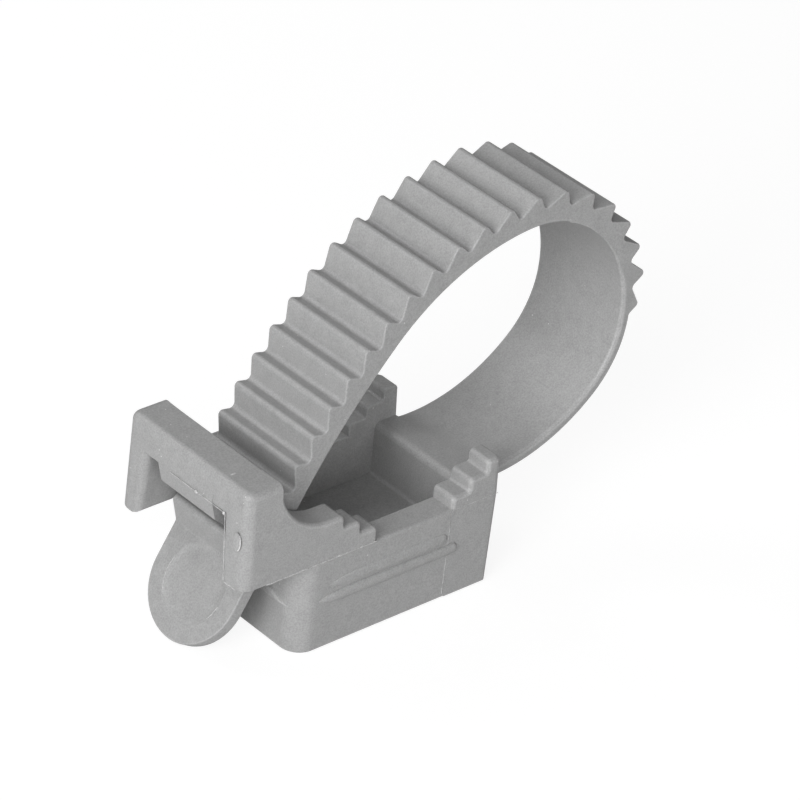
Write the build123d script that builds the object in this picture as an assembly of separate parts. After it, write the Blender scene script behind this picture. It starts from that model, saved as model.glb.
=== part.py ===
from build123d import *
import os
from math import cos, hypot, radians, sin, tan

# Cable strap clip, moulded in one piece: a screw-down tray, a ratchet lock at one end and a toothed
# strap rooted at the other, which loops over the tray and passes down through the lock.
# X runs along the tray from the lock to the strap's root, Y across it, Z up from the base.
# The origin is the centre of the screw hole, on the base. Millimetres and degrees.

# Tray
tray_length = 24.0
tray_width = 17.8
parting_height = 10.2
mould_draft = 1.5
side_wall = 2.8
end_wall = 2.6
lock_corner_radius = 2.5
root_corner_radius = 0.8
tray_floor_height = 5.0
floor_thickness = 2.0
floor_round = 0.4
base_edge_bevel = 0.3
rim_round = 0.35

# Screw hole in a boss under the floor
screw_hole_diameter = 4.8
screw_boss_diameter = 9.6
screw_hole_chamfer = 0.5

# Root block and the two stepped cradles that the cable lies in
cheek_stand = 0.1
root_block_length = 5.9
cradle_gap = 9.2
step_count = 3
step_run = 2.05
step_rise = 1.3
step_round = 0.5
step_hollow = 0.3
cradle_edge_bevel = 0.25

# Ribs round the tray's outer walls
rib_height = 5.15
rib_depth = 1.05
rib_stand = 0.35
rib_start = 9.3
rib_end = 7.1
rib_point_length = 1.8
rib_side_angle = 30.0
swell_height = 6.6
swell_depth = 1.0
swell_stand = 0.15
swell_start = 7.9
swell_end = 6.0
end_rib_half_length = 7.1

# Lock: two cheeks, a beam across them and the pawl under it
lock_reach = 7.1
lock_height = 10.2
beam_depth = 4.2
beam_thickness = 3.1
lock_first_rise = 1.6
lock_throat_radius = 6.1
lock_edge_round = 0.8
leg_corner_radius = 1.3
channel_top_width = 11.7
channel_foot_width = 12.7
leg_inner_round = 0.9
pawl_width = 7.8
pawl_root_depth = 2.1
pawl_drop = 2.0
pawl_rake = 0.5
pawl_setback = 0.1
pawl_gap = 0.2
pawl_lift = 0.7

# Strap
strap_width = 11.2
strap_root_width = 12.0
flare_length = 8.0
strap_thickness = 1.7
band_thickness = 1.0
strap_lean = 59.0
strap_gap = 0.45
root_rise = 0.45
root_edge_round = 0.8
root_dip = 4.0
root_fillet = 2.0
strap_edge_bevel = 0.25

# Bends of the strap's inner face, from the root round to the lock. The crown's radius and the
# neck's turn follow from the others, because the last bend ends on the line through the lock.
root_bend_angle = 46.8
root_bend_radius = 17.8
heel_bend_angle = 42.2
heel_bend_radius = 9.9
side_bend_angle = 49.2
side_bend_radius = 13.3
crown_bend_angle = 51.6
shoulder_bend_angle = 41.0
shoulder_bend_radius = 23.7
neck_bend_radius = 77.0

# Teeth
tooth_count = 22
tooth_pitch = 2.96
tooth_height = 1.8
steep_run = 0.75
crest_round = 0.45
valley_round = 0.45
run_out_teeth = 5
last_tooth_height = 1.1

# Tail tab
first_tooth_reach = 0.35
tab_length = 11.65
tab_thickness = 1.5
thumb_recess_radius = 3.75
thumb_recess_depth = 0.3

# Places worked out from the sizes above
half_length = tray_length / 2
half_inside = tray_width / 2 - side_wall
cheek_width = tray_width + 2 * cheek_stand
lock_front = -(half_length + lock_reach)
lock_top = parting_height + lock_height
beam_back = lock_front + beam_depth
beam_foot = lock_top - beam_thickness
root_top = parting_height + root_rise
block_start = half_length - root_block_length
lock_toe = block_start - cradle_gap
tail_reach = first_tooth_reach + tab_length
draft_slope = tan(radians(mould_draft))
leg_foot_width = (cheek_width - channel_foot_width) / 2
leg_inner_radius = min(leg_inner_round, 0.9 * (leg_foot_width - leg_corner_radius))
spare = 5.0
overlap = 1.0
touching = 0.01


def side_plane(y):
    """The XZ plane at a given Y, with its normal along -Y."""
    return Plane(origin=(0, y, 0), x_dir=(1, 0, 0), z_dir=(0, -1, 0))


def side_prism(profile, y_low, y_high):
    """A face drawn in X and Z, extruded across the clip from y_low to y_high."""
    return extrude(side_plane(y_high) * profile, amount=y_high - y_low)


def cross_plane(x):
    """The YZ plane at a given X, with its normal along +X."""
    return Plane(origin=(x, 0, 0), x_dir=(0, 1, 0), z_dir=(1, 0, 0))


def block(x_low, x_high, y_half, z_low, z_high):
    """A plain box, even about the middle plane."""
    middle = Pos((x_low + x_high) / 2, 0, (z_low + z_high) / 2)
    return middle * Box(x_high - x_low, 2 * y_half, z_high - z_low)


def tapered_block(x_low, x_high, width, height, direction, low_corner, high_corner):
    """A block rising or falling from the parting plane, with the mould's draft on its sides."""
    outline = Pos((x_low + x_high) / 2, 0) * Rectangle(x_high - x_low, width)
    if low_corner:
        outline = fillet(outline.vertices().group_by(Axis.X)[0], low_corner)
    outline = fillet(outline.vertices().group_by(Axis.X)[-1], high_corner)
    outline = Plane.XY.offset(parting_height) * outline
    return extrude(outline, amount=height, dir=(0, 0, direction), taper=mould_draft)


class StrapPath:
    """The strap's inner face as a chain of tangent arcs, then a straight run through the lock."""

    def __init__(self):
        self.lean = radians(strap_lean)
        self.foot = (-(half_length + strap_gap), parting_height)
        turns = [root_bend_angle, heel_bend_angle, side_bend_angle, crown_bend_angle, shoulder_bend_angle]
        turns.append(180 + strap_lean + root_dip - sum(turns))
        radii = [root_bend_radius, heel_bend_radius, side_bend_radius, 0.0, shoulder_bend_radius, neck_bend_radius]
        crown = turns.index(crown_bend_angle)
        radii[crown] = self.closing_radius(turns, radii, crown)
        self.arcs = []
        heading = radians(-root_dip)
        x, z = half_length, root_top
        travelled = 0.0
        for turn, radius in zip(turns, radii):
            centre = (x - radius * sin(heading), z + radius * cos(heading))
            self.arcs.append((travelled, centre, radius, heading, radians(turn)))
            travelled += radians(turn) * (radius + strap_thickness / 2)
            heading += radians(turn)
            x = centre[0] + radius * sin(heading)
            z = centre[1] - radius * cos(heading)
        self.run_travel = travelled
        self.foot_travel = travelled + hypot(x - self.foot[0], z - self.foot[1])

    def closing_radius(self, turns, radii, crown):
        """The crown's radius that brings the last arc onto the line through the lock."""
        normal = (sin(self.lean), -cos(self.lean))
        heading = radians(-root_dip)
        offset = (half_length - self.foot[0]) * normal[0] + (root_top - self.foot[1]) * normal[1]
        share = 0.0
        for index, (turn, radius) in enumerate(zip(turns, radii)):
            end = heading + radians(turn)
            step = (sin(end) - sin(heading)) * normal[0] + (cos(heading) - cos(end)) * normal[1]
            offset += radius * step
            if index == crown:
                share = step
            heading = end
        return -offset / share

    def point(self, travel, height):
        """A point at a distance along the strap's middle line and a height above its inner face."""
        for start, centre, radius, heading, turn in self.arcs:
            length = turn * (radius + strap_thickness / 2)
            if travel <= start + length:
                angle = heading + turn * (travel - start) / length
                reach = radius + height
                return (centre[0] + reach * sin(angle), centre[1] - reach * cos(angle))
        along = travel - self.foot_travel
        x = self.foot[0] - along * cos(self.lean) - height * sin(self.lean)
        z = self.foot[1] - along * sin(self.lean) + height * cos(self.lean)
        return (x, z)

    def heading_at(self, travel):
        """The direction of the strap at a distance along it, for a place on one of the arcs."""
        for start, centre, radius, heading, turn in self.arcs:
            length = turn * (radius + strap_thickness / 2)
            if travel <= start + length:
                return heading + turn * (travel - start) / length
        return radians(180 + strap_lean)

    def arc_edges(self, height, last):
        """The path's arcs at a height above its inner face, from the root to a distance along it."""
        edges = []
        for start, centre, radius, heading, turn in self.arcs:
            length = turn * (radius + strap_thickness / 2)
            end = min(start + length, last)
            if end - start > 0.001:
                ends = [self.point(travel, height) for travel in (start, (start + end) / 2, end)]
                edges.append(ThreePointArc(*ends))
        return edges


path = StrapPath()
first_crest = path.foot_travel + first_tooth_reach
last_crest = first_crest - (tooth_count - 1) * tooth_pitch
band_end = last_crest - steep_run


def root_thickness_at(travel):
    """The strap's thickness under the teeth, which thins over the last teeth before the band."""
    share = min(1.0, (travel - band_end) / (run_out_teeth * tooth_pitch))
    return band_thickness + (strap_thickness - band_thickness) * share


def tooth_outline():
    """Corner points and radii of the teeth, from the end of the band to the foot of the last ramp."""
    heading = path.heading_at(band_end)
    band_corner = path.point(band_end, band_thickness)
    lead = (band_corner[0] - steep_run * cos(heading), band_corner[1] - steep_run * sin(heading))
    points = [lead, band_corner]
    radii = [valley_round]
    for index in range(tooth_count):
        crest = last_crest + index * tooth_pitch
        height = tooth_height if index else last_tooth_height
        if index:
            points.append(path.point(crest - steep_run, root_thickness_at(crest - steep_run)))
            radii.append(valley_round)
        points.append(path.point(crest, root_thickness_at(crest) + height))
        radii.append(crest_round)
    ramp_foot = first_crest + tooth_pitch - steep_run
    points.append(path.point(ramp_foot, tab_thickness))
    radii.append(valley_round)
    return points, radii


def strap_profile():
    """The whole strap from the side: band, teeth and tail tab."""
    tip = path.foot_travel + tail_reach
    wall_inside = half_length - end_wall / 2
    points, radii = tooth_outline()
    tab_end = path.point(tip, tab_thickness)
    band_last = band_end - steep_run
    inner_start = path.point(0, 0)
    outer_start = path.point(0, band_thickness)
    edges = path.arc_edges(0, path.run_travel) + path.arc_edges(band_thickness, band_last)
    edges.append(Polyline(path.point(path.run_travel, 0), path.point(tip, 0), tab_end))
    edges.append(Line(path.point(band_last, band_thickness), points[0]))
    edges.append(FilletPolyline(*points, tab_end, radius=radii))
    edges.append(Polyline(inner_start, (wall_inside, root_top), (wall_inside, outer_start[1]), outer_start))
    return make_face(Wire(Curve() + edges))


def make_wide_part():
    """The room that the strap's wider part fills: the band, and the flare down to the teeth's width."""
    narrow = strap_width / 2
    wide = strap_root_width / 2
    flare_x, flare_z = path.point(band_end, 0)
    far = flare_x + 4 * spare
    near_side = [(flare_x - flare_length, -narrow), (flare_x, -wide), (far, -wide)]
    far_side = [(x, -y) for x, y in reversed(near_side)]
    outline = make_face(Polyline(*near_side, *far_side, close=True))
    upper = extrude(Plane.XY.offset(flare_z) * outline, amount=4 * lock_top)
    return upper + block(0, far, wide, 0, flare_z)


def tab_plane():
    """The plane of the strap's inner face in the lock, with X towards the tail's tip."""
    along = (-cos(path.lean), 0, -sin(path.lean))
    outward = (-sin(path.lean), 0, cos(path.lean))
    return Plane(origin=(path.foot[0], 0, path.foot[1]), x_dir=along, z_dir=outward)


def make_tab_corners():
    """What is cut from the tab's two corners to make its end round."""
    centre = tail_reach - strap_width / 2
    corners = Pos(centre + strap_width, 0) * Rectangle(2 * strap_width, 2 * strap_width)
    corners -= Pos(centre, 0) * Circle(strap_width / 2)
    return extrude(tab_plane().offset(-overlap) * corners, amount=tab_thickness + 2 * overlap)


def make_thumb_recess():
    """The shallow round dish in the tab's outer face."""
    floor = tab_plane().offset(tab_thickness - thumb_recess_depth)
    dish = Pos(tail_reach - strap_width / 2, 0) * Circle(thumb_recess_radius)
    return extrude(floor * dish, amount=overlap)


def shared(edge, faces):
    """Whether an edge lies between two of the faces given."""
    return sum(edge.is_same(other) for face in faces for other in face.edges()) > 1


def contour(solid):
    """The outline edges of a solid's two sides, without the seams inside a side."""
    sides = [face for face in solid.faces() if abs(face.normal_at(face.center()).Y) > 0.9]
    return [edge for face in sides for edge in face.edges() if not shared(edge, sides)]


def end_wall_at(z):
    """Where the outside of the tray's end wall stands at a height, inside the mould's draft."""
    return half_length - (parting_height - z) * draft_slope


def corner_web(before, corner, after, radius):
    """The small face between a corner and the arc that rounds it."""
    arc = FilletPolyline(before, corner, after, radius=radius).edges().filter_by(GeomType.CIRCLE)[0]
    return make_face(Wire([arc, Line(arc @ 1, corner), Line(corner, arc @ 0)]))


def make_root_fillet():
    """The rounded web between the underside of the strap and the tray's end wall."""
    corner_z = path.point(0, band_thickness)[1]
    foot_z = corner_z - 2 * root_fillet
    corner = (end_wall_at(corner_z), corner_z)
    wall_foot = (end_wall_at(foot_z), foot_z)
    strap_side = path.point(1.2 * root_fillet, band_thickness)
    arc = FilletPolyline(wall_foot, corner, strap_side, radius=root_fillet).edges().filter_by(GeomType.CIRCLE)[0]
    low, high = sorted((arc @ 0, arc @ 1), key=lambda point: point.Z)
    inside = half_length - end_wall / 2
    top = corner_z + band_thickness / 2
    back = Polyline(low, (inside, low.Z), (inside, top), (high.X, top), high)
    return side_prism(make_face(Wire([arc] + back.edges())), -strap_width / 2, strap_width / 2)


def bevelled_strap(width, tip_cut):
    """The strap at one width all along, with the edges of its inner face bevelled."""
    strap = side_prism(strap_profile(), -width / 2, width / 2) - tip_cut
    tip = path.foot_travel + tail_reach
    run = Line(path.point(path.run_travel, 0), path.point(tip, 0))
    inner_line = side_plane(0) * Wire(path.arc_edges(0, path.run_travel) + [run])
    edges = []
    for edge in strap.edges():
        middle = edge @ 0.5
        along = abs(edge.tangent_at(0.5).Y) < 0.9
        if along and inner_line.distance_to(Vector(middle.X, 0, middle.Z)) < touching:
            edges.append(edge)
    return chamfer(edges, strap_edge_bevel)


def make_strap():
    """The strap: teeth and tab at one width, the wider band and flare, and the thumb recess."""
    tip_cut = make_tab_corners()
    narrow = bevelled_strap(strap_width, tip_cut)
    wide = bevelled_strap(strap_root_width, tip_cut) & make_wide_part()
    return narrow + wide - make_thumb_recess()


def stair(toe, towards, first_rise):
    """Corner points and radii of the cradle's stair, from its toe up to the top of its last step."""
    points = [(toe, parting_height)]
    radii = []
    height = parting_height + first_rise
    for index in range(step_count):
        x = toe + towards * index * step_run
        if index:
            points.append((x, height - step_rise))
            radii.append(step_hollow)
        points.append((x, height))
        radii.append(step_round)
        height += step_rise
    return points, radii


def make_mould():
    """The drafted block that all the clip's upper parts are cut from."""
    return tapered_block(lock_front, half_length, cheek_width, lock_height, 1, leg_corner_radius, root_corner_radius)


def bevel_sides(solid):
    """A cradle's stair and top with their outer edges bevelled, and its foot left sharp."""
    corner_start = half_length - root_corner_radius - 10 * touching
    edges = []
    for edge in contour(solid):
        upright = abs(edge.tangent_at(0.5).Z) > 0.9
        at_foot = edge.center().Z < parting_height + touching
        at_end = edge.center().X > corner_start or edge.center().X < beam_back - overlap / 2
        if not at_foot and not (upright and at_end):
            edges.append(edge)
    return chamfer(edges, cradle_edge_bevel)


def make_root_towers():
    """The stepped towers either side of the strap's root, before the way between them is cut."""
    points, radii = stair(block_start, 1, step_rise)
    end = half_length + spare
    edges = [FilletPolyline(*points, (end, points[-1][1]), radius=radii)]
    edges.append(Polyline((end, points[-1][1]), (end, parting_height), points[0]))
    return bevel_sides(make_mould() & side_prism(make_face(Wire(Curve() + edges)), -cheek_width, cheek_width))


def make_lock_cheeks():
    """The cheeks behind the beam, with the throat and the stair, before the channel is cut."""
    points, radii = stair(lock_toe, -1, lock_first_rise)
    shoulder = points[-1][1]
    throat_foot = (beam_back + lock_throat_radius, shoulder)
    throat_top = (beam_back, shoulder + lock_throat_radius)
    bow = lock_throat_radius * (1 - cos(radians(45)))
    front = beam_back - overlap
    edges = [FilletPolyline(*points, throat_foot, radius=radii)]
    edges.append(ThreePointArc(throat_foot, (beam_back + bow, shoulder + bow), throat_top))
    edges.append(Polyline(throat_top, (front, throat_top[1]), (front, parting_height), points[0]))
    return bevel_sides(make_mould() & side_prism(make_face(Wire(Curve() + edges)), -cheek_width, cheek_width))


def channel_corner(y_half, z):
    """Where the channel's wall stands at a height, from its widths at the foot and at the beam."""
    slope = (channel_foot_width - channel_top_width) / 2 / (beam_foot - parting_height)
    return y_half - slope * (z - parting_height)


def make_channel(z_high):
    """The way through the lock, wider at its foot, up to a height."""
    foot = channel_foot_width / 2
    top = channel_corner(foot, z_high)
    corners = [(-foot, parting_height), (foot, parting_height), (top, z_high), (-top, z_high)]
    section = make_face(Polyline(*corners, close=True))
    start = lock_front - spare
    return extrude(cross_plane(start) * section, amount=lock_toe + overlap - start)


def make_portal():
    """The lock's front: two legs joined by the beam, with rounded corners."""
    portal = make_mould() & block(lock_front - spare, beam_back, cheek_width, parting_height, lock_top + spare)
    crown = portal.faces().sort_by(Axis.Z)[-1]
    portal = fillet([edge for edge in crown.edges() if edge.center().X < beam_back - touching], lock_edge_round)
    portal -= make_channel(beam_foot)
    widest = max(channel_foot_width, channel_top_width)
    walls = [edge for edge in portal.edges() if 0 < edge.center().Y < widest / 2]
    upright = [edge for edge in walls if abs(edge.tangent_at(0.5).Z) > 0.9]
    front_edges = [edge for edge in upright if edge.center().X < beam_back - overlap]
    return fillet(front_edges, leg_inner_radius)


def make_upper():
    """What stands above the parting plane: portal, cheeks and towers."""
    cheeks = make_lock_cheeks() - make_channel(lock_top + overlap)
    return make_portal() + cheeks + make_root_towers()


def make_leg_rounds():
    """What is cut from the foot of each leg along its inner edge, in front of the tray."""
    foot = channel_foot_width / 2
    upper = (channel_corner(foot, beam_foot), beam_foot)
    before = (foot + 2 * leg_inner_radius, parting_height)
    web = corner_web(before, (foot, parting_height), upper, leg_inner_radius)
    start = lock_front - overlap
    cut = extrude(cross_plane(start) * web, amount=-half_length - start)
    return cut + mirror(cut, about=Plane.XZ)


def make_pawl():
    """The tongue under the beam, whose nose stands in the valley behind the tail's first tooth."""
    valley = first_crest - steep_run
    ramp_run = tooth_pitch - steep_run
    ramp_gap = pawl_gap * hypot(ramp_run, tooth_height) / ramp_run
    nose_height = strap_thickness + pawl_lift
    nose_front = path.point(valley + steep_run * pawl_lift / tooth_height - pawl_gap, nose_height)
    nose_back = path.point(valley - ramp_run * (pawl_lift - ramp_gap) / tooth_height, nose_height)
    heel_share = 0.9
    heel = path.point(valley - ramp_run * heel_share, strap_thickness + tooth_height * heel_share + ramp_gap)
    front = lock_front + pawl_setback
    back = front + pawl_root_depth
    chin = (front + pawl_rake, beam_foot - pawl_drop)
    outline = [(front, beam_foot + overlap), (front, beam_foot), chin, nose_front, nose_back, heel]
    outline += [(back, beam_foot), (back, beam_foot + overlap)]
    return side_prism(make_face(Polyline(*outline, close=True)), -pawl_width / 2, pawl_width / 2)


def wall_at(z):
    """Half the tray's width at a height, inside the mould's draft."""
    return tray_width / 2 - (parting_height - z) * draft_slope


def make_rim_rounds():
    """What is cut from the top outer edges of the tray's long walls, between the two stairs."""
    depth = 2 * rim_round
    before = (tray_width / 2 - depth, parting_height)
    after = (wall_at(parting_height - depth), parting_height - depth)
    web = corner_web(before, (tray_width / 2, parting_height), after, rim_round)
    cut = extrude(cross_plane(lock_toe) * web, amount=cradle_gap)
    return cut + mirror(cut, about=Plane.XZ)


def make_side_rib(x_start, x_end, z_low, depth, stand):
    """A rib on the tray's near and far walls, pointed towards the lock and round at its other end."""
    middle = z_low + depth / 2
    x_round = x_end - depth / 2
    low_edge = [(x_round, z_low), (-x_start, z_low)]
    high_edge = [(-x_start + rib_point_length, z_low + depth), (x_round, z_low + depth)]
    outline = make_face(Polyline(*low_edge, *high_edge, close=True))
    outline += Pos(x_round, middle) * Circle(depth / 2)
    foot = wall_at(z_low)
    rib = extrude(side_plane(-foot + overlap) * outline, amount=overlap)
    rib += extrude(side_plane(-foot) * outline, amount=stand, taper=rib_side_angle)
    return rib + mirror(rib, about=Plane.XZ)


def make_end_rib():
    """The rib across the tray's wall under the lock, pointed at both ends."""
    half = end_rib_half_length
    top = rib_height + rib_depth
    low_edge = [(half, rib_height), (-half, rib_height)]
    high_edge = [(-half + rib_point_length, top), (half - rib_point_length, top)]
    outline = make_face(Polyline(*low_edge, *high_edge, close=True))
    foot = end_wall_at(rib_height)
    plane = Plane(origin=(-foot, 0, 0), x_dir=(0, -1, 0), z_dir=(-1, 0, 0))
    rib = extrude(plane.offset(-overlap) * outline, amount=overlap)
    return rib + extrude(plane * outline, amount=rib_stand, taper=rib_side_angle)


def make_tray_shell():
    """The tray's outside: the main block and the slightly wider root block, with bevelled base edges."""
    depth = parting_height
    main = tapered_block(-half_length, half_length, tray_width, depth, -1, lock_corner_radius, root_corner_radius)
    root = tapered_block(block_start, half_length, cheek_width, depth, -1, None, root_corner_radius)
    main = chamfer(main.faces().sort_by(Axis.Z)[0].edges(), base_edge_bevel)
    root = chamfer(root.faces().sort_by(Axis.Z)[0].edges(), base_edge_bevel)
    return main + root


def make_inside():
    """The tray's hollow and the way between the towers, with the end wall's inner edge rounded."""
    inner_end = half_length - end_wall
    high = lock_top + spare
    far = half_length + spare
    points = [(lock_toe, high), (lock_toe, parting_height), (-inner_end, parting_height)]
    points += [(-inner_end, tray_floor_height), (inner_end, tray_floor_height), (inner_end, root_top)]
    points += [(far, root_top), (far, high)]
    outline = FilletPolyline(*points, radius=[0.0, 0.0, floor_round, floor_round, root_edge_round, 0.0])
    return side_prism(make_face(Wire(outline.edges() + [Line(points[-1], points[0])])), -half_inside, half_inside)


def make_underside():
    """The recess under the floor, which leaves the boss round the screw hole."""
    height = tray_floor_height - floor_thickness
    recess = block(end_wall - half_length, half_length - end_wall, half_inside, 0, height)
    return recess - Pos(0, 0, height / 2) * Cylinder(screw_boss_diameter / 2, height)


def make_screw_hole():
    """The screw hole through floor and boss, with a small lead-in at the top."""
    hole = Pos(0, 0, tray_floor_height / 2) * Cylinder(screw_hole_diameter / 2, tray_floor_height + overlap)
    radius = screw_hole_diameter / 2
    lead = Cone(radius, radius + 2 * screw_hole_chamfer, 2 * screw_hole_chamfer)
    return hole + Pos(0, 0, tray_floor_height) * lead


def make_clip():
    """The whole clip as one solid."""
    sill = block(half_length - end_wall, half_length - draft_slope, half_inside, parting_height - overlap, root_top)
    body = make_tray_shell() + make_upper() + sill + make_end_rib()
    body += make_side_rib(rib_start, rib_end, rib_height, rib_depth, rib_stand)
    body += make_side_rib(swell_start, swell_end, swell_height, swell_depth, swell_stand)
    body -= make_inside()
    body -= make_underside()
    body -= make_screw_hole()
    body -= make_leg_rounds()
    body -= make_rim_rounds()
    return body + make_pawl() + make_root_fillet() + make_strap()


os.makedirs("parts", exist_ok=True)
export_step(make_clip(), "parts/strap_clip.step")
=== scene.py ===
from math import atan2, cos, degrees, pi, radians, sin, tan

import bmesh
import bpy
from mathutils import Matrix, Vector


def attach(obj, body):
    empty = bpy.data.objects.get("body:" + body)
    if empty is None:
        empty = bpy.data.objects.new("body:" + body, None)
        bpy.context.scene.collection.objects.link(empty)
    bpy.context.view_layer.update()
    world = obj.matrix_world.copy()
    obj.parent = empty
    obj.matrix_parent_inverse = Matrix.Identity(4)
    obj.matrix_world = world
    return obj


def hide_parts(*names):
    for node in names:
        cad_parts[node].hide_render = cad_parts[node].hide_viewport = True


# Looks of the cable strap clip: moulded grey polyamide on a white table under soft lamps.
# X runs from the lock to the strap's root, Y across, Z up from the base.
# Single lengths are in metres, and lengths in lists and brackets in millimetres.
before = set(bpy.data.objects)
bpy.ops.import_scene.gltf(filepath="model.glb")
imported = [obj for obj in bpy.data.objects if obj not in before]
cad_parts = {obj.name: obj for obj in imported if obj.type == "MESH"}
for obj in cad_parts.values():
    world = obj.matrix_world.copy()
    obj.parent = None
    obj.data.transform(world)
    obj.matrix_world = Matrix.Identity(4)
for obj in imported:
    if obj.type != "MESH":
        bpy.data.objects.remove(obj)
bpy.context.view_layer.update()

MM = 0.001

# Camera
VIEW_TURN = radians(-43.648)
VIEW_RISE = radians(31.825)
VIEW_ROLL = radians(5.876)
VIEW_AIM = Vector((8.413, 1.991, 15.715)) * MM
VIEW_DISTANCE = 422.61 * MM
LENS = 202.5
SENSOR = 36.0

# Lamps: name, direction from the clip, and the light that each gives a surface facing it
LAMPS = [
    ("main_lamp", (-0.90, -0.30, 0.30), 0.487),
    ("upper_lamp", (-0.75, -0.50, 0.60), 0.321),
    ("front_lamp", (-0.40, -0.90, 0.30), 0.189),
    ("side_lamp", (0.20, -0.95, 0.30), 0.126),
    ("back_lamp", (-0.30, 0.80, 0.60), 0.275),
    ("rim_lamp", (0.50, 0.70, 0.60), 0.057),
    ("top_lamp", (0.00, 0.00, 1.00), 0.031),
]
LAMP_DISTANCE = 0.50
LAMP_WIDTH = 0.25
SKY_LIGHT = 0.114

# Table: its width, the tint that it reflects onto the clip, and what the camera sees of it
TABLE_WIDTH = 6.0
TABLE_REFLECTED = (0.75, 0.75, 0.75, 1)
TABLE_SHADOWED = (0.22, 0.22, 0.22, 1)
TABLE_GLOW = 0.86

# Polyamide's tints, darkest and lightest: plain; at softened edges, lighter as a painted highlight and
# also on the gate scar's pad; where thin, for flash and for the painted glints on the dish; where torn
PLAIN_TINTS = (0.295, 0.408)
EDGE_HIGHLIGHT_AND_SCAR_TINTS = (0.33, 0.45)
THIN_AND_GLINT_TINTS = (0.36, 0.70)
TORN_TINTS = (0.70, 0.85)

# Polyamide's patterns: how fine each is, how mottle and grain mix, and what the mix runs between
MOTTLE_SCALE = 900
MOTTLE_DETAIL = 5
MOTTLE_SHARE = 0.35
GRAIN_SCALE = 6500
GRAIN_DETAIL = 2
PATTERN_LOW = 0.45
PATTERN_HIGH = 0.90
ROUGHNESS_LOW = 0.36
ROUGHNESS_HIGH = 0.50
RELIEF_STRENGTH = 0.15
RELIEF_DEPTH = 0.02 * MM

# Dust specks: fineness of their cells, radius in cells, the share of cells left clean, colour
SPECK_SCALE = 760
SPECK_RADIUS = 0.045
SPECK_CLEAN_SHARE = 0.55
SPECK_COLOUR = (0.72, 0.72, 0.72, 1)

# Meshing: what counts as one place, and the angles up to which faces are flat or shade as one
WELD_DISTANCE = 0.001 * MM
NEAR = 0.02 * MM
FLAT_ANGLE = radians(0.4)
SMOOTH_ANGLE = radians(32)
DISH_SMOOTH_ANGLE = radians(50)
LINE_SMOOTH_ANGLE = radians(60)
LUMP_SMOOTH_ANGLE = radians(80)

# Softened edges: width, the least angle, and the narrowest face that takes one
EDGE_WIDTH = 0.15 * MM
EDGE_ANGLE = radians(28)
NARROWEST_FACE = 0.30 * MM

# Lock: the beam and the rounding of its ends, the pawl's panel, and the opening under the beam
BEAM_BACK = -14.9 * MM
BEAM_TOP = 20.4 * MM
BEAM_END = 8.754 * MM
BEAM_ROUND = 0.8 * MM
BEAM_ROUND_STOP = -16.0 * MM
PANEL_FRONT = -19.0 * MM
PANEL_TOP = 18.3 * MM
PANEL_FADE = 0.110 * MM
OPENING_HALF_WIDTH = 5.6 * MM
OPENING_LOW = 10.5 * MM
OPENING_HIGH = 20.0 * MM

# Trimmed corners of the beam: length, distance of the middle from the back, the margin within
# which points belong to them, and how near two points are welded
TRIM_LENGTH = 1.16 * MM
TRIM_INSET = 0.46 * MM
TRIM_MARGIN = 0.2 * MM
TRIM_WELD = 0.03 * MM

# Long walls: height of the mould's parting line, half the width there, and the draft below it
PARTING = 10.2 * MM
WALL_AT_PARTING = 8.9 * MM
WALL_DRAFT = tan(radians(1.5))

# The solid's flat-topped ribs: where they stand, and how deep in the wall they end
FLAT_RIBS_X = (-9.6, 7.4)
FLAT_RIBS_Z = (4.9, 7.9)
FLAT_RIBS_MIDDLE = 6.3 * MM
FLAT_RIBS_SUNK = 0.05 * MM

# Rounded ribs: name, height of the middle, half depth, how far each stands out, where it starts
# and ends, and the length of its point
RIBS = [
    ("rib", 5.70, 0.58, 0.33, -9.5, 7.3, 2.6),
    ("swell", 7.12, 0.66, 0.17, -8.3, 5.9, 3.4),
]

# How a rib's ends are drawn out: each step's share of the end's length, and its size against
# the step before. An end's face points along the rib by more than FACING.
RIB_BLUNT_END = [(0.38, 0.92), (0.30, 0.80), (0.20, 0.62), (0.10, 0.40)]
RIB_POINTED_END = [(0.20, 0.96), (0.20, 0.90), (0.20, 0.82), (0.20, 0.68), (0.20, 0.20)]
FACING = 0.95

# Thumb dish: the tab's outer face, and how far each ring of the dish goes in and down
TAB_ALONG = Vector((-0.515, 0, -0.857))
TAB_OUTWARD = Vector((-0.857, 0, 0.515))
DISH_CENTRE = Vector((-12.45, 0, 10.2)) * MM + TAB_OUTWARD * 1.5 * MM + TAB_ALONG * 6.4 * MM
DISH_RADIUS = 3.85 * MM
DISH_RINGS = [(0.12, 0.02), (0.14, 0.05), (0.16, 0.06), (0.20, 0.05), (0.30, 0.03), (0.60, 0.01)]
DISH_THICKNESS = 0.03 * MM
DISH_LIFT = 0.006 * MM

# Painted glints: pale arcs on the dish's rim that paint its highlights, with the angles in degrees
# between which each runs
GLINTS = [("left_glint", 58, 86), ("right_glint", -108, -48)]
GLINT_RADIUS = 3.72 * MM
GLINT_THICKNESS = 0.04 * MM

# Raised arcs: the share of the half length past which they sink, and by how many radii
ARC_SINK_START = 0.55
ARC_SINK = 0.6

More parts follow.
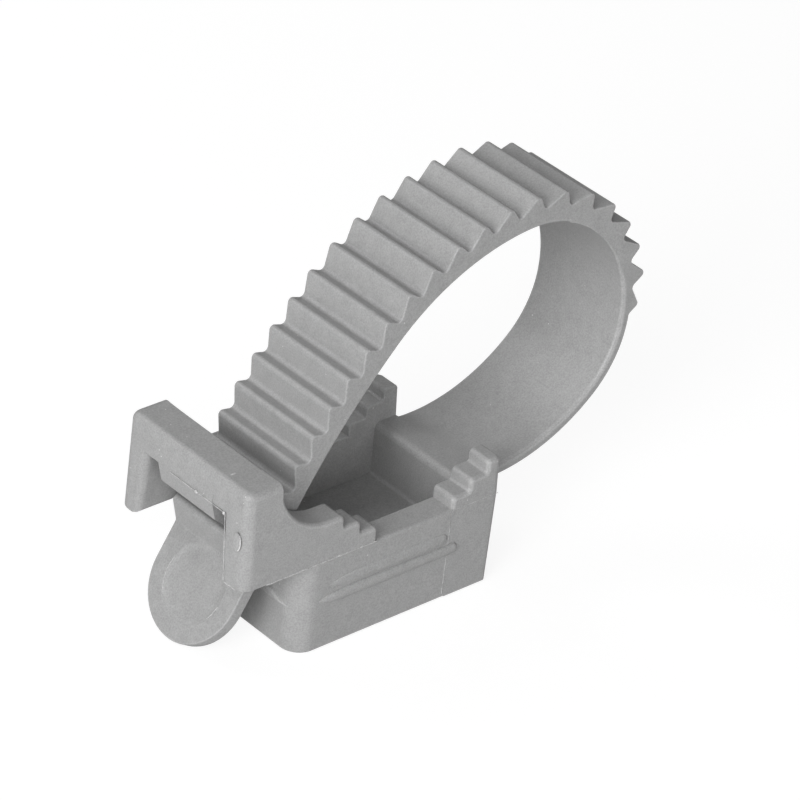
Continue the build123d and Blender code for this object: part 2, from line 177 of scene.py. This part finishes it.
# Flash along the mould's parting lines: name, both ends, radius and unevenness. A run is cut
# every FLASH_STEP, across the edges longer than its LENGTHWISE share.
FLASH = [
    ("beam_flash", (-19.06, 2.20, 17.30), (-19.06, -5.80, 17.30), 0.030, 0.022),
    ("leg_flash", (-19.08, -5.87, 17.30), (-19.08, -6.32, 10.40), 0.025, 0.018),
    ("foot_flash", (-19.05, -6.40, 10.22), (-19.02, -7.90, 10.22), 0.045, 0.030),
    ("near_flash", (-16.20, -8.97, 10.22), (-3.15, -8.97, 10.22), 0.045, 0.030),
    ("far_flash", (-17.20, 8.97, 10.22), (-3.15, 8.97, 10.22), 0.045, 0.030),
    ("near_root_flash", (6.20, -8.99, 10.20), (11.75, -8.99, 10.20), 0.022, 0.012),
    ("far_root_flash", (6.20, 8.99, 10.20), (11.75, 8.99, 10.20), 0.022, 0.012),
    ("near_seam", (6.15, -8.88, 9.90), (6.15, -8.66, 0.60), 0.022, 0.010),
    ("far_seam", (6.15, 8.88, 9.90), (6.15, 8.66, 0.60), 0.022, 0.010),
]
FLASH_STEP = 0.30 * MM
LENGTHWISE = 0.9

# Small lumps of flash: name, place and half sizes
LUMPS = [
    ("beam_lump", (-19.08, -1.70, 17.32), (0.10, 0.22, 0.16)),
    ("corner_lump", (-19.10, -5.72, 17.28), (0.12, 0.16, 0.18)),
    ("foot_lump", (-19.02, -7.20, 10.28), (0.09, 0.18, 0.10)),
    ("cheek_lump", (-7.50, -8.98, 10.26), (0.28, 0.07, 0.13)),
    ("cheek_lump_small", (-4.90, -8.98, 10.26), (0.20, 0.06, 0.10)),
    ("beam_nick", (-17.59, -4.81, 20.40), (0.30, 0.10, 0.03)),
]
LUMP_UNEVENNESS = 0.012 * MM

# Gate scar: place and half sizes of its pad, and the torn rim with its ends in degrees
SCAR_PLACE = (-19.09, -7.80, 15.30)
SCAR_HALF_SIZES = (0.06, 0.50, 1.02)
SCAR_SEED = 41
SCAR_RIM_RADIUS = 0.86 * MM
SCAR_RIM_THICKNESS = 0.06 * MM
SCAR_RIM_ENDS = (-110, 65)
SCAR_RIM_NARROWING = 0.55


def deselect():
    """Nothing stays selected before an operator runs."""
    if bpy.context.object and bpy.context.object.mode != "OBJECT":
        bpy.ops.object.mode_set(mode="OBJECT")
    bpy.ops.object.select_all(action="DESELECT")


def pick(piece):
    """One piece alone is selected and active."""
    deselect()
    piece.select_set(True)
    bpy.context.view_layer.objects.active = piece


def add_camera():
    """The camera at the height and turn from which the clip is seen, rolled a little."""
    back = Vector((sin(VIEW_TURN) * cos(VIEW_RISE), -cos(VIEW_TURN) * cos(VIEW_RISE), sin(VIEW_RISE)))
    right = Vector((cos(VIEW_TURN), sin(VIEW_TURN), 0))
    up = back.cross(right)
    across = cos(VIEW_ROLL) * right + sin(VIEW_ROLL) * up
    upward = cos(VIEW_ROLL) * up - sin(VIEW_ROLL) * right
    camera = bpy.data.objects.new("camera", bpy.data.cameras.new("camera"))
    bpy.context.scene.collection.objects.link(camera)
    camera.matrix_world = Matrix((across, upward, back)).transposed().to_4x4()
    camera.matrix_world.translation = VIEW_AIM + back * VIEW_DISTANCE
    camera.data.lens = LENS
    camera.data.sensor_width = SENSOR
    camera.data.clip_start = 0.01
    bpy.context.scene.camera = camera


def add_lamps():
    """Square soft lamps, each turned to the clip's middle."""
    for name, direction, light in LAMPS:
        lamp = bpy.data.lights.new(name, "AREA")
        lamp.size = LAMP_WIDTH
        lamp.energy = light * (pi * LAMP_DISTANCE) ** 2
        holder = bpy.data.objects.new(name, lamp)
        bpy.context.scene.collection.objects.link(holder)
        towards = Vector(direction).normalized()
        holder.location = VIEW_AIM + towards * LAMP_DISTANCE
        holder.rotation_euler = towards.to_track_quat("Z", "Y").to_euler()


def add_world():
    """Faint even light from all round, which the camera sees as white."""
    world = bpy.data.worlds.new("room")
    bpy.context.scene.world = world
    world.use_nodes = True
    nodes = world.node_tree.nodes
    links = world.node_tree.links
    nodes.clear()
    out = nodes.new("ShaderNodeOutputWorld")
    mix = nodes.new("ShaderNodeMixShader")
    light = nodes.new("ShaderNodeBackground")
    light.inputs["Color"].default_value = (1, 1, 1, 1)
    light.inputs["Strength"].default_value = SKY_LIGHT
    seen = nodes.new("ShaderNodeBackground")
    seen.inputs["Color"].default_value = (1, 1, 1, 1)
    seen.inputs["Strength"].default_value = 1.0
    rays = nodes.new("ShaderNodeLightPath")
    links.new(rays.outputs["Is Camera Ray"], mix.inputs["Fac"])
    links.new(light.outputs["Background"], mix.inputs[1])
    links.new(seen.outputs["Background"], mix.inputs[2])
    links.new(mix.outputs["Shader"], out.inputs["Surface"])


def new_material(name):
    """An empty node material with its output."""
    material = bpy.data.materials.new(name)
    material.use_nodes = True
    nodes = material.node_tree.nodes
    nodes.clear()
    out = nodes.new("ShaderNodeOutputMaterial")
    return material, nodes, material.node_tree.links, out


def table_material():
    """White table: the camera sees it as white paper with the clip's faint shadow on it."""
    material, nodes, links, out = new_material("white_table")
    mix = nodes.new("ShaderNodeMixShader")
    bounce = nodes.new("ShaderNodeBsdfDiffuse")
    bounce.inputs["Color"].default_value = TABLE_REFLECTED
    shade = nodes.new("ShaderNodeBsdfDiffuse")
    shade.inputs["Color"].default_value = TABLE_SHADOWED
    glow = nodes.new("ShaderNodeEmission")
    glow.inputs["Strength"].default_value = TABLE_GLOW
    seen = nodes.new("ShaderNodeAddShader")
    rays = nodes.new("ShaderNodeLightPath")
    straight = nodes.new("ShaderNodeMath")
    straight.operation = "MAXIMUM"
    links.new(rays.outputs["Is Camera Ray"], straight.inputs[0])
    links.new(rays.outputs["Is Transmission Ray"], straight.inputs[1])
    links.new(shade.outputs["BSDF"], seen.inputs[0])
    links.new(glow.outputs["Emission"], seen.inputs[1])
    links.new(straight.outputs["Value"], mix.inputs["Fac"])
    links.new(bounce.outputs["BSDF"], mix.inputs[1])
    links.new(seen.outputs["Shader"], mix.inputs[2])
    links.new(mix.outputs["Shader"], out.inputs["Surface"])
    return material


def add_table():
    """The table that the clip stands on."""
    deselect()
    bpy.ops.mesh.primitive_plane_add(size=TABLE_WIDTH, location=(0, 0, 0))
    table = bpy.context.object
    table.name = "table"
    table.data.materials.append(table_material())


def polyamide_material(name, dark, light):
    """Semi-matt grey polyamide: fine grain, faint mottling and a few pale specks of dust."""
    material, nodes, links, out = new_material(name)
    shader = nodes.new("ShaderNodeBsdfPrincipled")
    place = nodes.new("ShaderNodeTexCoord")
    mottle = nodes.new("ShaderNodeTexNoise")
    mottle.inputs["Scale"].default_value = MOTTLE_SCALE
    mottle.inputs["Detail"].default_value = MOTTLE_DETAIL
    grain = nodes.new("ShaderNodeTexNoise")
    grain.inputs["Scale"].default_value = GRAIN_SCALE
    grain.inputs["Detail"].default_value = GRAIN_DETAIL
    blend = nodes.new("ShaderNodeMath")
    blend.operation = "MULTIPLY_ADD"
    blend.inputs[1].default_value = MOTTLE_SHARE
    tint = nodes.new("ShaderNodeMapRange")
    tint.inputs["From Min"].default_value = PATTERN_LOW
    tint.inputs["From Max"].default_value = PATTERN_HIGH
    tint.inputs["To Min"].default_value = dark
    tint.inputs["To Max"].default_value = light
    links.new(mottle.outputs["Fac"], blend.inputs[0])
    links.new(grain.outputs["Fac"], blend.inputs[2])
    links.new(blend.outputs["Value"], tint.inputs["Value"])

    # Specks of dust, in some of the cells only
    cells = nodes.new("ShaderNodeTexVoronoi")
    cells.inputs["Scale"].default_value = SPECK_SCALE
    near = nodes.new("ShaderNodeMath")
    near.operation = "LESS_THAN"
    near.inputs[1].default_value = SPECK_RADIUS
    chosen = nodes.new("ShaderNodeMath")
    chosen.operation = "GREATER_THAN"
    chosen.inputs[1].default_value = SPECK_CLEAN_SHARE
    red = nodes.new("ShaderNodeSeparateColor")
    speck = nodes.new("ShaderNodeMath")
    speck.operation = "MULTIPLY"
    links.new(cells.outputs["Distance"], near.inputs[0])
    links.new(cells.outputs["Color"], red.inputs["Color"])
    links.new(red.outputs["Red"], chosen.inputs[0])
    links.new(near.outputs["Value"], speck.inputs[0])
    links.new(chosen.outputs["Value"], speck.inputs[1])

    colour = nodes.new("ShaderNodeMix")
    colour.data_type = "RGBA"
    links.new(speck.outputs["Value"], colour.inputs["Factor"])
    links.new(tint.outputs["Result"], colour.inputs[6])
    colour.inputs[7].default_value = SPECK_COLOUR

    sheen = nodes.new("ShaderNodeMapRange")
    sheen.inputs["To Min"].default_value = ROUGHNESS_LOW
    sheen.inputs["To Max"].default_value = ROUGHNESS_HIGH
    relief = nodes.new("ShaderNodeBump")
    relief.inputs["Strength"].default_value = RELIEF_STRENGTH
    relief.inputs["Distance"].default_value = RELIEF_DEPTH
    for texture in (mottle, grain, cells):
        links.new(place.outputs["Object"], texture.inputs["Vector"])
    links.new(colour.outputs[2], shader.inputs["Base Color"])
    links.new(mottle.outputs["Fac"], sheen.inputs["Value"])
    links.new(sheen.outputs["Result"], shader.inputs["Roughness"])
    links.new(grain.outputs["Fac"], relief.inputs["Height"])
    links.new(relief.outputs["Normal"], shader.inputs["Normal"])
    links.new(shader.outputs["BSDF"], out.inputs["Surface"])
    return material


def finish_piece(piece, *materials):
    """A new piece of the moulding gets its materials and its body."""
    piece.data.materials.clear()
    for material in materials:
        piece.data.materials.append(material)
    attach(piece, "root")


def apply_modifier(piece, name, kind, **settings):
    """A modifier with its settings, applied at once."""
    pick(piece)
    modifier = piece.modifiers.new(name, kind)
    for key, value in settings.items():
        setattr(modifier, key, value)
    bpy.ops.object.modifier_apply(modifier=name)


def settle(piece):
    """The piece's place goes into its mesh."""
    pick(piece)
    bpy.ops.object.transform_apply(location=True, rotation=True, scale=True)


def weld_copy(solid, name):
    """A welded copy of a solid, with flat faces where the solid has them."""
    piece = solid.copy()
    piece.data = solid.data.copy()
    piece.name = name
    piece.parent = None
    bpy.context.scene.collection.objects.link(piece)
    pick(piece)
    bpy.ops.object.mode_set(mode="EDIT")
    bpy.ops.mesh.select_all(action="SELECT")
    bpy.ops.mesh.remove_doubles(threshold=WELD_DISTANCE)
    bpy.ops.mesh.customdata_custom_splitnormals_clear()
    bpy.ops.mesh.dissolve_limited(angle_limit=FLAT_ANGLE)
    bpy.ops.object.mode_set(mode="OBJECT")
    return piece


def wall_at(z):
    """Where the long walls stand at a height."""
    return WALL_AT_PARTING - (PARTING - z) * WALL_DRAFT


def choose(piece, kind, passes):
    """In edit mode, only the faces, edges or points that pass are selected."""
    pick(piece)
    bpy.ops.object.mode_set(mode="EDIT")
    bpy.ops.mesh.select_mode(type=kind)
    bpy.ops.mesh.select_all(action="DESELECT")
    mesh = bmesh.from_edit_mesh(piece.data)
    items = {"FACE": mesh.faces, "EDGE": mesh.edges, "VERT": mesh.verts}[kind]
    mesh.normal_update()
    for item in items:
        if passes(item):
            item.select_set(True)
    mesh.select_flush_mode()
    bmesh.update_edit_mesh(piece.data)


def press_flat_ribs(moulding, side):
    """The flat-topped ribs go back into the wall, under the rounded ones that take their place."""
    back, front = FLAT_RIBS_X
    low, high = FLAT_RIBS_Z

    def on_rib(point):
        x, y, z = point.co
        stands_out = y * side - wall_at(z) > NEAR
        return back * MM < x < front * MM and low * MM < z < high * MM and stands_out

    choose(moulding, "VERT", on_rib)
    sunk = side * (wall_at(FLAT_RIBS_MIDDLE) - FLAT_RIBS_SUNK)
    bpy.ops.transform.resize(value=(1, 0, 1), center_override=(0, sunk, 0))
    bpy.ops.object.mode_set(mode="OBJECT")


def fade_panel_top(moulding):
    """The pawl's panel runs out into the beam's front, with no edge at its top."""

    def at_top(point):
        x, y, z = point.co
        return abs(x - PANEL_FRONT) < NEAR and abs(z - PANEL_TOP) < NEAR

    choose(moulding, "VERT", at_top)
    bpy.ops.transform.translate(value=(PANEL_FADE, 0, 0))
    bpy.ops.object.mode_set(mode="OBJECT")


def at_trimmed_corner(place):
    """Whether a place lies at the top back corner of one of the beam's ends."""
    x, y, z = place
    if not BEAM_ROUND_STOP - TRIM_MARGIN < x < BEAM_BACK + TRIM_MARGIN:
        return False
    return abs(y) > BEAM_END - BEAM_ROUND - TRIM_MARGIN and z > BEAM_TOP - BEAM_ROUND - TRIM_MARGIN


def in_lock_opening(place):
    """Whether a place is on the pawl, in the channel round it or on the beam's lower edge above."""
    x, y, z = place
    return x < BEAM_BACK and abs(y) < OPENING_HALF_WIDTH and OPENING_LOW < z < OPENING_HIGH


def trim_beam_end(moulding, side):
    """The beam's end is rounded right through to its back."""
    middle = Vector((BEAM_BACK - TRIM_INSET, side * (BEAM_END - BEAM_ROUND), BEAM_TOP - BEAM_ROUND))
    deselect()
    bpy.ops.mesh.primitive_cylinder_add(
        vertices=48, radius=BEAM_ROUND, depth=2 * TRIM_LENGTH, location=middle, rotation=(0, pi / 2, 0)
    )
    core = bpy.context.object
    settle(core)
    deselect()
    bpy.ops.mesh.primitive_cube_add(size=1, location=middle + Vector((0, side, 1)) * BEAM_ROUND)
    corner = bpy.context.object
    corner.scale = (TRIM_LENGTH, 2 * BEAM_ROUND, 2 * BEAM_ROUND)
    settle(corner)
    apply_modifier(corner, "round", "BOOLEAN", operation="DIFFERENCE", object=core, solver="EXACT")
    apply_modifier(moulding, "trim", "BOOLEAN", operation="DIFFERENCE", object=corner, solver="EXACT")
    bpy.data.objects.remove(core)
    bpy.data.objects.remove(corner)
    choose(moulding, "VERT", lambda point: point.co.y * side > 0 and at_trimmed_corner(point.co))
    bpy.ops.mesh.remove_doubles(threshold=TRIM_WELD)
    bpy.ops.object.mode_set(mode="OBJECT")


def reach_from(edge, face):
    """How far a face goes from one of its edges."""
    start = edge.verts[0].co
    along = (edge.verts[1].co - start).normalized()
    return max((vertex.co - start).cross(along).length for vertex in face.verts)


def soften_edges(moulding):
    """The outward edges between faces that are wide enough lose their sharpness."""

    def is_sharp(edge):
        if len(edge.link_faces) != 2 or not edge.is_convex or edge.calc_face_angle() < EDGE_ANGLE:
            return False
        middle = (edge.verts[0].co + edge.verts[1].co) / 2
        if at_trimmed_corner(middle) or in_lock_opening(middle):
            return False
        return min(reach_from(edge, face) for face in edge.link_faces) > NARROWEST_FACE

    choose(moulding, "EDGE", is_sharp)
    # The bevels' faces take the second material, a lighter tint that paints a highlight along the
    # convex edges
    bpy.ops.mesh.bevel(offset=EDGE_WIDTH, segments=2, affect="EDGES", clamp_overlap=False, material=1)
    bpy.ops.object.mode_set(mode="OBJECT")


def add_moulding(material, edge_highlight_material):
    """The clip's surface, welded from the solid, with the edges softened as the mould leaves them and
    painted lighter along them as a highlight.
    """
    moulding = weld_copy(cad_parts["strap_clip"], "strap_clip_moulding")
    finish_piece(moulding, material, edge_highlight_material)
    fade_panel_top(moulding)
    for side in (-1, 1):
        press_flat_ribs(moulding, side)
        trim_beam_end(moulding, side)
    soften_edges(moulding)
    pick(moulding)
    bpy.ops.object.shade_smooth_by_angle(angle=SMOOTH_ANGLE)
    apply_modifier(moulding, "even_normals", "WEIGHTED_NORMAL", keep_sharp=True, weight=80)
    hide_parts("strap_clip")


def add_rib(name, side, middle, half_depth, stand, x_start, x_end, point, material):
    """A rounded rib along a long wall, drawn out to a point towards the lock."""
    deselect()
    radius = half_depth * MM
    length = (x_end - x_start - point) * MM - radius
    height = middle * MM
    centre = Vector(((x_start + point) * MM + length / 2, side * wall_at(height), height))
    bpy.ops.mesh.primitive_cylinder_add(
        vertices=32, radius=radius, depth=length, location=centre, rotation=(0, pi / 2, 0)
    )
    rib = bpy.context.object
    rib.name = name
    settle(rib)
    for towards, reach, steps in ((1, radius, RIB_BLUNT_END), (-1, point * MM, RIB_POINTED_END)):
        choose(rib, "FACE", lambda face: face.normal.x * towards > FACING)
        for share, scale in steps:
            bpy.ops.mesh.extrude_region_move(
                TRANSFORM_OT_translate={"value": (towards * share * reach, 0, 0)}
            )
            bpy.ops.transform.resize(value=(1, scale, scale), center_override=(0, centre.y, centre.z))
    bpy.ops.mesh.select_all(action="SELECT")
    bpy.ops.transform.resize(value=(1, stand * MM / radius, 1), center_override=(0, centre.y, centre.z))
    bpy.ops.object.mode_set(mode="OBJECT")
    bpy.ops.object.shade_smooth_by_angle(angle=LINE_SMOOTH_ANGLE)
    finish_piece(rib, material)


def tab_place(lift=0):
    """Where a piece drawn flat lies on the tab's outer face, raised a little or not at all."""
    across = TAB_OUTWARD.cross(TAB_ALONG)
    place = Matrix((TAB_ALONG, across, TAB_OUTWARD)).transposed().to_4x4()
    place.translation = DISH_CENTRE + TAB_OUTWARD * lift
    return place


def add_thumb_dish(material):
    """The dish for the thumb: a soft rim that falls to a nearly flat floor."""
    deselect()
    bpy.ops.mesh.primitive_circle_add(vertices=96, radius=DISH_RADIUS, fill_type="NGON")
    dish = bpy.context.object
    dish.name = "thumb_dish"
    choose(dish, "FACE", lambda face: True)
    for step, fall in DISH_RINGS:
        bpy.ops.mesh.inset(thickness=step * MM, depth=-fall * MM)
    bpy.ops.object.mode_set(mode="OBJECT")
    apply_modifier(dish, "thickness", "SOLIDIFY", thickness=DISH_THICKNESS, offset=-1)
    dish.matrix_world = tab_place(DISH_LIFT)
    settle(dish)
    bpy.ops.object.shade_smooth_by_angle(angle=DISH_SMOOTH_ANGLE)
    finish_piece(dish, material)


def add_arc(name, place, radius, thickness, start, end, material):
    """A thin raised line along part of a circle, which sinks towards its ends."""
    deselect()
    bpy.ops.mesh.primitive_torus_add(
        major_radius=radius, minor_radius=thickness, major_segments=120, minor_segments=8
    )
    arc = bpy.context.object
    arc.name = name
    middle = (start + end) / 2
    half = (end - start) / 2

    def share(point):
        turn = (degrees(atan2(point.co.y, point.co.x)) - middle + 180) % 360 - 180
        return abs(turn) / half

    choose(arc, "VERT", lambda point: share(point) > 1)
    bpy.ops.mesh.delete(type="VERT")
    bpy.ops.mesh.select_all(action="SELECT")
    bpy.ops.mesh.fill_holes(sides=0)
    choose(arc, "VERT", lambda point: share(point) > ARC_SINK_START)
    bpy.ops.transform.translate(value=(0, 0, -ARC_SINK * thickness))
    bpy.ops.object.mode_set(mode="OBJECT")
    arc.matrix_world = place
    settle(arc)
    bpy.ops.object.shade_smooth_by_angle(angle=LINE_SMOOTH_ANGLE)
    finish_piece(arc, material)


def add_flash(name, start, end, radius, unevenness, seed, material):
    """A thin uneven line of flash, as left where the two halves of the mould meet."""
    start = Vector(start) * MM
    end = Vector(end) * MM
    run = end - start
    deselect()
    bpy.ops.mesh.primitive_cylinder_add(
        vertices=8,
        radius=radius * MM,
        depth=run.length,
        location=(start + end) / 2,
        rotation=run.to_track_quat("Z", "Y").to_euler(),
    )
    flash = bpy.context.object
    flash.name = name
    settle(flash)
    choose(flash, "EDGE", lambda edge: edge.calc_length() > LENGTHWISE * run.length)
    bpy.ops.mesh.subdivide(number_cuts=int(run.length / FLASH_STEP))
    bpy.ops.mesh.select_all(action="SELECT")
    bpy.ops.transform.vertex_random(offset=unevenness * MM, uniform=0.5, normal=0.5, seed=seed)
    bpy.ops.mesh.normals_make_consistent(inside=False)
    bpy.ops.object.mode_set(mode="OBJECT")
    bpy.ops.object.shade_smooth_by_angle(angle=LINE_SMOOTH_ANGLE)
    finish_piece(flash, material)


def add_lump(name, place, half_sizes, seed, material):
    """A small rounded lump of flash."""
    deselect()
    bpy.ops.mesh.primitive_ico_sphere_add(subdivisions=3, radius=MM, location=Vector(place) * MM)
    lump = bpy.context.object
    lump.name = name
    lump.scale = half_sizes
    settle(lump)
    choose(lump, "VERT", lambda point: True)
    bpy.ops.transform.vertex_random(offset=LUMP_UNEVENNESS, uniform=0.6, normal=0.4, seed=seed)
    bpy.ops.object.mode_set(mode="OBJECT")
    bpy.ops.object.shade_smooth_by_angle(angle=LUMP_SMOOTH_ANGLE)
    finish_piece(lump, material)


def add_gate_scar(material, torn_material):
    """Where the moulding was cut from its sprue: a low uneven pad with a torn rim."""
    add_lump("gate_scar", SCAR_PLACE, SCAR_HALF_SIZES, SCAR_SEED, material)
    place = Matrix(((0, 0, -1), (-SCAR_RIM_NARROWING, 0, 0), (0, 1, 0))).to_4x4()
    place.translation = Vector(SCAR_PLACE) * MM
    add_arc("gate_scar_rim", place, SCAR_RIM_RADIUS, SCAR_RIM_THICKNESS, *SCAR_RIM_ENDS, torn_material)


polyamide = polyamide_material("grey_polyamide", *PLAIN_TINTS)
# Lighter tint for the softened edges, a painted highlight; the gate scar's pad takes it too
edge_highlight_and_scar_polyamide = polyamide_material("edge_highlight_and_scar_polyamide", *EDGE_HIGHLIGHT_AND_SCAR_TINTS)
# Pale tint for thin flash and lumps, and for the painted glints on the dish's rim
thin_and_glint_polyamide = polyamide_material("thin_and_glint_polyamide", *THIN_AND_GLINT_TINTS)
torn_polyamide = polyamide_material("torn_polyamide", *TORN_TINTS)
add_moulding(polyamide, edge_highlight_and_scar_polyamide)
add_thumb_dish(polyamide)
# The glints are painted highlights: pale arcs along the dish's rim
for glint_name, *ends in GLINTS:
    add_arc(glint_name, tab_place(), GLINT_RADIUS, GLINT_THICKNESS, *ends, thin_and_glint_polyamide)
for seed, (flash_name, *run) in enumerate(FLASH):
    add_flash(flash_name, *run, seed, thin_and_glint_polyamide)
for seed, (lump_name, *shape) in enumerate(LUMPS):
    add_lump(lump_name, *shape, seed, thin_and_glint_polyamide)
add_gate_scar(edge_highlight_and_scar_polyamide, torn_polyamide)
for side_name, side in (("near", -1), ("far", 1)):
    for rib_name, *sizes in RIBS:
        add_rib(f"{side_name}_{rib_name}", side, *sizes, polyamide)
add_table()
add_lamps()
add_world()
add_camera()
bpy.context.scene.view_settings.view_transform = "Standard"
